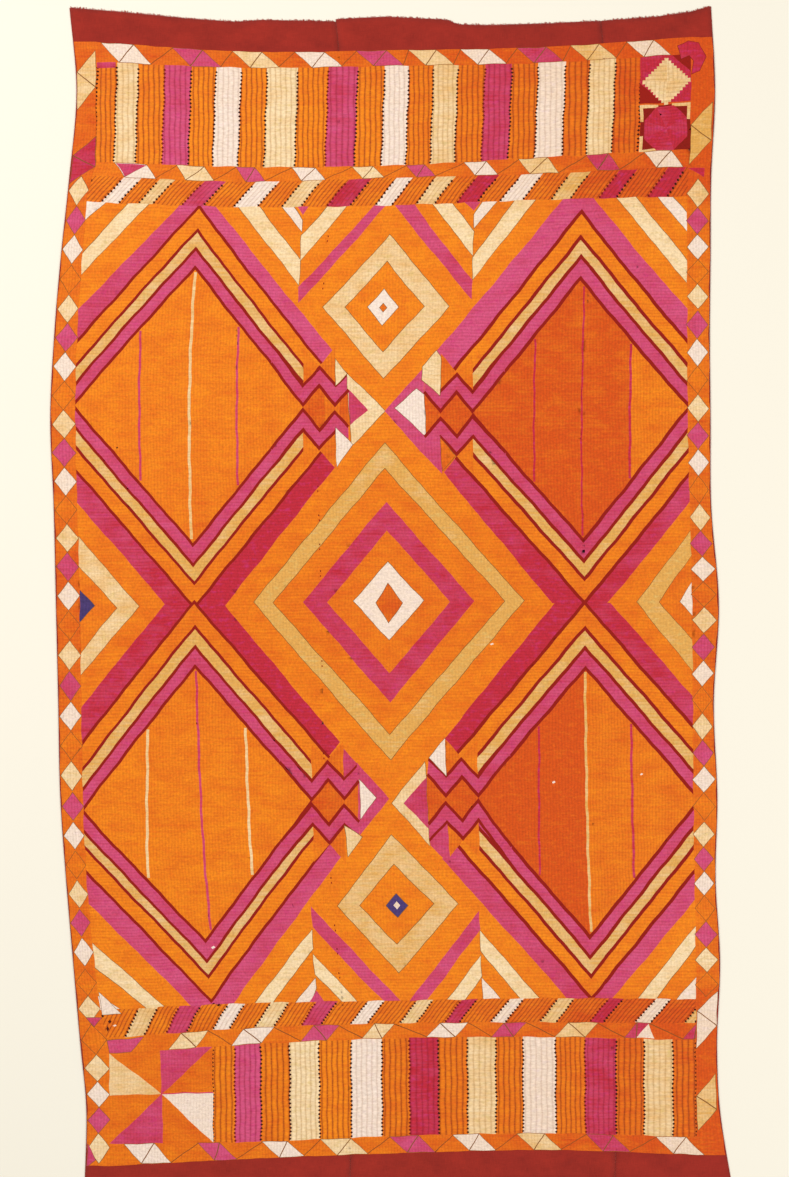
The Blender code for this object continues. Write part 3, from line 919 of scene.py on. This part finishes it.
def silk(name, fresh, deep, row_valley_shade, fleck, abrash=0.8):
    """Untwisted floss laid in rows: fine threads along each float, and painted shade in the valley
    where rows meet.
    abrash: how uneven the dye is."""
    material, tree, shader, place = started(name)
    thread_map = node(tree, "ShaderNodeUVMap")
    thread_map.uv_map = "Thread"
    thread = thread_map.outputs[0]
    rib = attribute(tree, "rib")

    # uneven dye: long streaks with the weft, cloudy patches, and flecks of a third colour
    streak = off_middle(tree, stretched_noise(tree, place, 14.0, 240.0), 0.5, abrash)
    cloud = off_middle(tree, stretched_noise(tree, place, 22.0, 30.0, 3.0), 0.5, abrash * 1.3)
    tone = maths(tree, "ADD", attribute(tree, "tone"), maths(tree, "ADD", streak, cloud), clamp=True)
    colour = mixed(tree, tone, rgb(fresh), rgb(deep))
    blotch = off_middle(tree, stretched_noise(tree, place, 60.0, 110.0, 3.0, 0.6), 0.52, 3.0, clamp=True)
    colour = mixed(tree, blotch, colour, rgb(fleck))

    # light and dark bundles of thread along each float
    bundle = stretched_noise(tree, thread, 0.55, 620.0, 2.0, 0.7)
    grain = stretched_noise(tree, thread, 1.1, 230.0, 2.0, 0.7)
    shade = maths(tree, "ADD", maths(tree, "MULTIPLY", bundle, 0.40), maths(tree, "MULTIPLY", grain, 0.75))
    shade = maths(tree, "ADD", shade, 0.425)
    grey = node(tree, "ShaderNodeCombineXYZ", X=shade, Y=shade, Z=shade)
    colour = mixed(tree, 1.0, colour, grey.outputs[0], "MULTIPLY")

    # the valley between rows, where the colour is darkened as painted shade: 0 in the middle of a row, 1
    # where two rows meet
    across = node(tree, "ShaderNodeSeparateXYZ", Vector=thread).outputs["X"]
    off_row = maths(tree, "SUBTRACT", maths(tree, "FRACT", across), 0.5)
    from_row = maths(tree, "MULTIPLY", maths(tree, "ABSOLUTE", off_row), 2.0)
    ragged = stretched_noise(tree, thread, 1.7, 420.0, 1.0)
    gap = maths(tree, "MULTIPLY", maths(tree, "POWER", from_row, 3.2), maths(tree, "ADD", 0.45, ragged))
    share = maths(tree, "MULTIPLY", gap, rib, clamp=True)
    # painted shade: the valley between rows is darkened towards the row shade colour
    tree.links.new(mixed(tree, share, colour, rgb(row_valley_shade)), shader.inputs["Base Color"])

    valley = maths(tree, "MULTIPLY", gap, maths(tree, "ADD", 0.35, rib))
    bump(tree, shader, maths(tree, "SUBTRACT", maths(tree, "MULTIPLY", bundle, 0.5), valley), 0.5, 0.0008)
    roughness = maths(tree, "ADD", 0.5, maths(tree, "MULTIPLY", bundle, 0.25))
    tree.links.new(roughness, shader.inputs["Roughness"])
    shader.inputs["Sheen Weight"].default_value = 0.06
    shader.inputs["Sheen Roughness"].default_value = 0.4
    return material


def cotton(name, fresh, deep, pale):
    """Plain hand-spun weave, worn and a little faded."""
    material, tree, shader, place = started(name)
    weft = stretched_noise(tree, place, 60.0, 900.0, 3.0, 0.6)
    warp = stretched_noise(tree, place, 900.0, 60.0, 3.0, 0.6)
    weave = maths(tree, "MULTIPLY", maths(tree, "ADD", weft, warp), 0.5)
    cloud = off_middle(tree, stretched_noise(tree, place, 18.0, 26.0, 4.0, 0.6), 0.5, 1.4)
    uneven = maths(tree, "ADD", cloud, off_middle(tree, weave, 0.5, 2.0))
    colour = mixed(tree, maths(tree, "ADD", uneven, 0.5, clamp=True), rgb(fresh), rgb(deep))
    slub = off_middle(tree, weft, 0.66, 3.0, clamp=True)
    tree.links.new(mixed(tree, slub, colour, rgb(pale)), shader.inputs["Base Color"])
    bump(tree, shader, weave, 0.6, 0.0008)
    shader.inputs["Roughness"].default_value = 0.88
    shader.inputs["Sheen Weight"].default_value = 0.15
    return material


def worked_line(name, dark, light):
    """Ground or outline thread between patches; tone runs from one colour to the other. For the bare ground
    the dark colour is painted shade.
    """
    material, tree, shader, place = started(name)
    grain = stretched_noise(tree, place, 260.0, 260.0, 2.0, 0.7)
    tone = maths(tree, "ADD", attribute(tree, "tone"), off_middle(tree, grain, 0.5, 0.8), clamp=True)
    tree.links.new(mixed(tree, tone, rgb(dark), rgb(light)), shader.inputs["Base Color"])
    bump(tree, shader, grain, 0.5, 0.0006)
    shader.inputs["Roughness"].default_value = 0.85
    return material


# Colours: for silk the fresh one, the deep one, the painted shade in the valley between rows and the flecks
FLOSSES = {
    # the bare ground's second colour is painted shade, for the dots between bars
    BARE_GROUND_AND_SHADE: worked_line("bare_ground_and_shade", (156, 26, 14), (62, 18, 6)),
    THREAD: worked_line("outline_thread", (128, 86, 40), (165, 70, 20)),
    ORANGE: silk("orange_floss", (248, 138, 14), (218, 82, 8), (150, 50, 4), (234, 108, 14)),
    MAGENTA: silk("magenta_floss", (216, 84, 128), (194, 36, 56), (140, 14, 36), (206, 52, 120)),
    CREAM: silk("cream_floss", (250, 221, 176), (228, 168, 82), (184, 136, 74), (222, 190, 112)),
    WHITE: silk("white_floss", (248, 228, 212), (240, 208, 176), (190, 150, 128), (246, 220, 214), 0.4),
    INDIGO: silk("indigo_floss", (80, 60, 120), (50, 40, 80), (30, 20, 40), (60, 44, 110)),
}
KHADDAR = cotton("madder_khaddar", (172, 46, 33), (138, 34, 25), (188, 78, 58))

# ======== Meshes


def mesh_object(name, points, faces, materials):
    mesh = bpy.data.meshes.new(name)
    faces = np.asarray(faces)
    mesh.from_pydata(np.asarray(points).tolist(), [], faces.tolist())
    for material in materials:
        mesh.materials.append(material)
    mesh.shade_smooth()
    made = bpy.data.objects.new(name, mesh)
    bpy.context.scene.collection.objects.link(made)
    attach(made, "root")
    return made


def inside(polygon, points):
    """Which of the points lie in a polygon, by counting crossings."""
    x, y = points.T
    hits = np.zeros(len(points), bool)
    for (ax, ay), (bx, by) in zip(polygon, np.roll(polygon, -1, axis=0)):
        if ay == by:
            continue
        crosses = (ay > y) != (by > y)
        hits ^= crosses & (x < (bx - ax) * (y - ay) / (by - ay) + ax)
    return hits


def deeper(c, s):
    """How much darker the silk has stayed: along the middle, and towards the right at both ends."""
    end = np.clip((abs(s) - 0.74) / 0.10, 0.0, 1.0)
    rightwards = np.clip((c - 0.55) / 0.62, 0.0, 1.0)
    middle = np.exp(-((s / 0.26) ** 2))
    return 0.5 * end * rightwards + 0.22 * middle + 0.12 * (s > 1.0) + 0.06


GRID = 0.009  # spacing of the points inside patches
EDGE = 0.012  # spacing along their edges
MARGIN = 0.02  # how far outside a tile its patches' edges are kept
SILK_LIFT, LOW_LIFT = 0.0005, 0.0002  # silk above the cotton, and outlines above it
ON_SEAM = 2e-4  # a point this close to a seam belongs on it


def hand_wobble(c, s):
    """The slight unevenness of counted work, the same for every patch."""
    wave = 0.0007 * np.sin(61 * s + 23 * c) + 0.0005 * np.sin(143 * s - 88 * c + 1.7)
    rise = 0.0007 * np.sin(57 * c - 31 * s + 0.6) + 0.0005 * np.sin(129 * c + 97 * s)
    return c + wave, s + rise


def evenly(start, stop):
    """Places from start to stop, about EDGE apart."""
    return np.linspace(start, stop, max(3, round((stop - start) / EDGE)) + 1)


def tile_outline(sides, top, foot):
    """The corners of a tile and points along its sides, on the chart."""
    levels = np.linspace(foot, top, max(4, round((top - foot) / EDGE)) + 1)
    left, right = sides(levels)
    low, high = evenly(left[0], right[0]), evenly(left[-1], right[-1])
    return np.concatenate([
        np.stack([low[:-1], np.full(len(low) - 1, foot)], 1),
        np.stack([right[:-1], levels[:-1]], 1),
        np.stack([high[:0:-1], np.full(len(high) - 1, top)], 1),
        np.stack([left[:0:-1], levels[:0:-1]], 1),
    ])


def tile_facets(outline):
    """The corners and triangles of a tile on the chart, the patch each triangle belongs to, and
    the creases that lie in the tile."""
    (lowest, foot), (highest, top) = outline.min(axis=0), outline.max(axis=0)
    points = [outline]
    total = len(outline)
    edges = [(n, (n + 1) % total) for n in range(total)]
    near = []
    for patch in patches:
        shape = patch[0]
        if shape[:, 0].max() < lowest or shape[:, 0].min() > highest:
            continue
        if shape[:, 1].max() < foot or shape[:, 1].min() > top:
            continue
        near.append(patch)
        for start, stop in zip(shape, np.roll(shape, -1, axis=0)):
            steps = max(1, round(math.dist(start, stop) / EDGE))
            run = start + np.linspace(0, 1, steps + 1)[:, None] * (stop - start)
            keep = (run[:, 0] > lowest - MARGIN) & (run[:, 0] < highest + MARGIN)
            keep &= (run[:, 1] > foot - MARGIN) & (run[:, 1] < top + MARGIN)
            links = np.flatnonzero(keep[:-1] & keep[1:])
            if len(links):
                points.append(run)
                edges += [(total + n, total + n + 1) for n in links]
                total += len(run)
    folds = []
    for crease in CREASES:
        start, bend, stop = np.array(crease)
        if not (foot + MARGIN < start[1] < top - MARGIN and lowest < start[0] and stop[0] < highest):
            continue
        share = np.linspace(0, 1, CREASE_STEPS + 1)[:, None]
        ridge = (1 - share) ** 2 * start + 2 * share * (1 - share) * bend + share**2 * stop
        thick = CREASE_WIDTH / 2 * np.sin(np.pi * share) ** 0.5 + 1e-4
        for side in (-1, 0, 1):
            points.append(ridge + side * thick * (0, 1))
            edges += [(total + n, total + n + 1) for n in range(CREASE_STEPS)]
            total += CREASE_STEPS + 1
        folds.append(ridge)
    grid_c = np.arange(lowest + GRID / 2, highest, GRID)
    grid_s = np.arange(foot + GRID / 2, top, GRID)
    points.append(np.stack(np.meshgrid(grid_c, grid_s), -1).reshape(-1, 2))
    solved = delaunay_2d_cdt([Vector(p) for p in np.concatenate(points)], edges, [], 0, 1e-6, False)
    corners = np.array([tuple(v) for v in solved[0]])
    faces = np.array(solved[2])
    middles = corners[faces].mean(axis=1)
    kept = inside(outline, middles)
    faces, middles = faces[kept], middles[kept]
    owner = np.zeros(len(faces), int)
    for number, patch in enumerate(near):
        shape = patch[0]
        close = (middles > shape.min(axis=0)) & (middles < shape.max(axis=0))
        close = np.flatnonzero(np.all(close, axis=1))
        owner[close[inside(shape, middles[close])]] = number
    used, faces = np.unique(faces, return_inverse=True)
    return corners[used], faces.reshape(-1, 3), [near[number] for number in owner], folds


def fold_height(flat, ridge):
    """How much one crease raises each point of the chart."""
    off = abs(flat[:, 1] - np.interp(flat[:, 0], ridge[:, 0], ridge[:, 1]))
    share = (flat[:, 0] - ridge[0, 0]) / (ridge[-1, 0] - ridge[0, 0])
    crest = np.sqrt(np.clip(4 * share * (1 - share), 0, 1))
    return CREASE_HEIGHT * crest * np.clip(1 - off / 0.0026, 0, 1)


def tile(name, strip_number, top, foot):
    """The silk of one strip from top to foot, as one sheet of joined facets."""
    starts, stops, ends = STRIPS[strip_number][1:]
    sides = strip_sides(strip_number)
    flat, faces, owners, folds = tile_facets(tile_outline(sides, top, foot))
    x, y = lay(*hand_wobble(*flat.T))
    edge_left = selvedge("left", y) + starts * LOOM_WIDTH
    edge_right = selvedge("right", y) if stops is None else selvedge("left", y) + stops * LOOM_WIDTH
    x = np.clip(x, edge_left, edge_right)
    side_left, side_right = sides(flat[:, 1])
    if starts:
        x = np.where(abs(flat[:, 0] - side_left) < ON_SEAM, edge_left, x)
    if stops:
        x = np.where(abs(flat[:, 0] - side_right) < ON_SEAM, edge_right, x)
    far, near_end = strip_ends(ends, (x - edge_left) / (edge_right - edge_left))
    floss, tone, rib, width, along, slant = (np.array(values) for values in list(zip(*owners))[1:])
    lift = np.full(len(flat), SILK_LIFT)
    lift[faces[floss <= THREAD].ravel()] = LOW_LIFT
    z = wall(x, y, far, near_end) + lift
    for ridge in folds:
        z += fold_height(flat, ridge)
    made = mesh_object(name, np.stack([x, y, z], 1), faces, list(FLOSSES.values()))
    mesh = made.data
    mesh.polygons.foreach_set("material_index", floss.astype(np.int32))
    tone = tone + np.where(floss > THREAD, deeper(*flat[faces].mean(axis=1).T), 0.0)
    for look, values in (("tone", tone), ("rib", rib.astype(float))):
        mesh.attributes.new(look, "FLOAT", "FACE").data.foreach_set("value", values)

    # the silk's own coordinates: across its rows, in rows, and along its floats
    corner_c, corner_s = flat[faces][..., 0], flat[faces][..., 1]
    along, slant, width = along[:, None], slant[:, None], width[:, None]
    row_at = np.where(along, corner_s, corner_c - slant * corner_s)
    thread = np.stack([row_at / width, np.where(along, corner_c, corner_s)], -1)
    mesh.uv_layers.new(name="Thread").data.foreach_set("uv", thread.reshape(-1))
    spread = (flat - flat.min(0)) / (flat.max(0) - flat.min(0))
    mesh.uv_layers.new(name="OFBake").data.foreach_set("uv", (0.01 + 0.98 * spread[faces]).reshape(-1))
    mesh.update()
    return made


def strip_sides(number):
    """The two sides of a strip's worked part on the chart, as functions of s."""

    def sides(s):
        left = np.full(len(s), -CHAIN + SELVEDGE) if number == 0 else seam_on_chart(number, s)
        right = np.full(len(s), FIELD + CHAIN - SELVEDGE) if number == 2 else seam_on_chart(number + 1, s)
        return left, right

    return sides


def cloth_strip(name, starts, stops, ends):
    """The cotton: a closed shell with a flat underside, a plain band at each end."""
    columns, rows = (40, 220) if stops else (20, 220)
    share = np.linspace(0, 1, columns + 1)[None, :].repeat(rows + 1, 0)
    level = np.linspace(0, 1, rows + 1)[:, None].repeat(columns + 1, 1)
    far, near = strip_ends(ends, share)
    y = near + (far - near) * level
    left, right = strip_edges(starts, stops, y)
    x = left + (right - left) * share
    top = wall(x, y, far, near)
    top_points = np.stack([x, y, top], -1).reshape(-1, 3)
    low_points = np.stack([x, y, np.zeros_like(x)], -1).reshape(-1, 3)
    index = np.arange((rows + 1) * (columns + 1)).reshape(rows + 1, columns + 1)
    upper = np.stack([index[:-1, :-1], index[:-1, 1:], index[1:, 1:], index[1:, :-1]], -1).reshape(-1, 4)
    lower = upper[:, ::-1] + len(top_points)
    rim = np.concatenate([index[0, :-1], index[:-1, -1], index[-1, :0:-1], index[:0:-1, 0]])
    following = np.roll(rim, -1)
    side = np.stack([rim + len(top_points), following + len(top_points), following, rim], -1)
    faces = np.concatenate([upper, lower, side])
    return mesh_object(name, np.concatenate([top_points, low_points]), faces, [KHADDAR])


THREAD_PITCH, THREAD_INSET = 0.0017, 0.002


def frayed(name, starts, stops, ends):
    """Loose cut threads of the warp along the two raw ends of a strip, lying on the floor."""
    random = np.random.default_rng(7 + starts)
    points, faces = [], []
    width = (LOOM_WIDTH if stops else RIGHT_WIDTH) - 2 * THREAD_INSET
    for outward in (1.0, -1.0):
        count = round(width / THREAD_PITCH)
        share = (np.arange(count) + random.uniform(0.1, 0.9, count)) / count
        y = strip_ends(ends, share)[0 if outward > 0 else 1]
        left, right = strip_edges(starts, stops, y)
        x = left + THREAD_INSET + (right - left - 2 * THREAD_INSET) * share
        length = 0.0008 + 0.0032 * random.random(count) ** 2
        lean = random.normal(0.0, 0.3, count) * length
        half = random.uniform(0.0004, 0.0008, count)
        for n in range(count):
            root, middle, tip = (y[n] + outward * out for out in (-0.0015, length[n] * 0.5, length[n]))
            base = len(points)
            for at, shift, height in ((root, 0.0, 0.00125), (middle, 0.35, 0.0011), (tip, 1.0, 0.0006)):
                place = x[n] + lean[n] * shift
                points += [(place - half[n], at, height), (place + half[n], at, height)]
            for low in (base, base + 2):
                quad = (low, low + 1, low + 3, low + 2)
                faces.append(quad if outward > 0 else quad[::-1])
    return mesh_object(name, points, faces, [KHADDAR])


ZONES = (OUTER_TOP, 0.69, 0.23, -0.23, -0.69, OUTER_FOOT)
for number, (name, starts, stops, ends) in enumerate(STRIPS):
    cloth = cloth_strip(f"cotton_{name}", starts, stops, ends)
    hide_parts(f"khaddar_{name}")
    for zone, (top, foot) in enumerate(zip(ZONES, ZONES[1:])):
        tile(f"silk_{name}_{zone + 1}", number, top, foot)
    frayed(f"threads_{name}", starts, stops, ends)

# ======== Floor, light and camera

floor_mesh = bpy.data.meshes.new("floor")
floor_mesh.from_pydata([(-9, -9, 0), (9, -9, 0), (9, 9, 0), (-9, 9, 0)], [], [(0, 1, 2, 3)])
floor = bpy.data.objects.new("floor", floor_mesh)
floor.location.z = -0.0005
bpy.context.scene.collection.objects.link(floor)
paper = bpy.data.materials.new("paper")
paper.use_nodes = True
paper.node_tree.nodes["Principled BSDF"].inputs["Base Color"].default_value = rgb((252, 246, 230))
paper.node_tree.nodes["Principled BSDF"].inputs["Roughness"].default_value = 0.9
floor_mesh.materials.append(paper)


def area_light(name, place, aim, size, power, colour):
    data = bpy.data.lights.new(name, "AREA")
    data.shape = "SQUARE"
    data.size = size
    data.energy = power
    data.color = colour
    made = bpy.data.objects.new(name, data)
    made.location = place
    made.rotation_euler = (Vector(aim) - Vector(place)).to_track_quat("-Z", "Y").to_euler()
    bpy.context.scene.collection.objects.link(made)


area_light("window", (-3.2, 2.6, 4.4), (0, 0, 0), 2.6, 185, (1.0, 0.985, 0.96))
area_light("opposite", (3.4, -1.6, 4.6), (0, 0, 0), 3.2, 135, (1.0, 0.99, 0.97))
world = bpy.data.worlds.new("room")
world.use_nodes = True
world.node_tree.nodes["Background"].inputs["Color"].default_value = (1.0, 0.99, 0.97, 1.0)
world.node_tree.nodes["Background"].inputs["Strength"].default_value = 0.40
bpy.context.scene.world = world
bpy.context.scene.view_settings.view_transform = "Standard"

LENS, SENSOR, VIEW_HEIGHT = 100.0, 36.0, 2.354
camera_data = bpy.data.cameras.new("camera")
camera_data.lens = LENS
camera_data.sensor_fit = "VERTICAL"
camera_data.sensor_height = SENSOR
camera = bpy.data.objects.new("camera", camera_data)
camera.location = (0.0067, 0.0214, VIEW_HEIGHT * LENS / SENSOR)
bpy.context.scene.collection.objects.link(camera)
bpy.context.scene.camera = camera
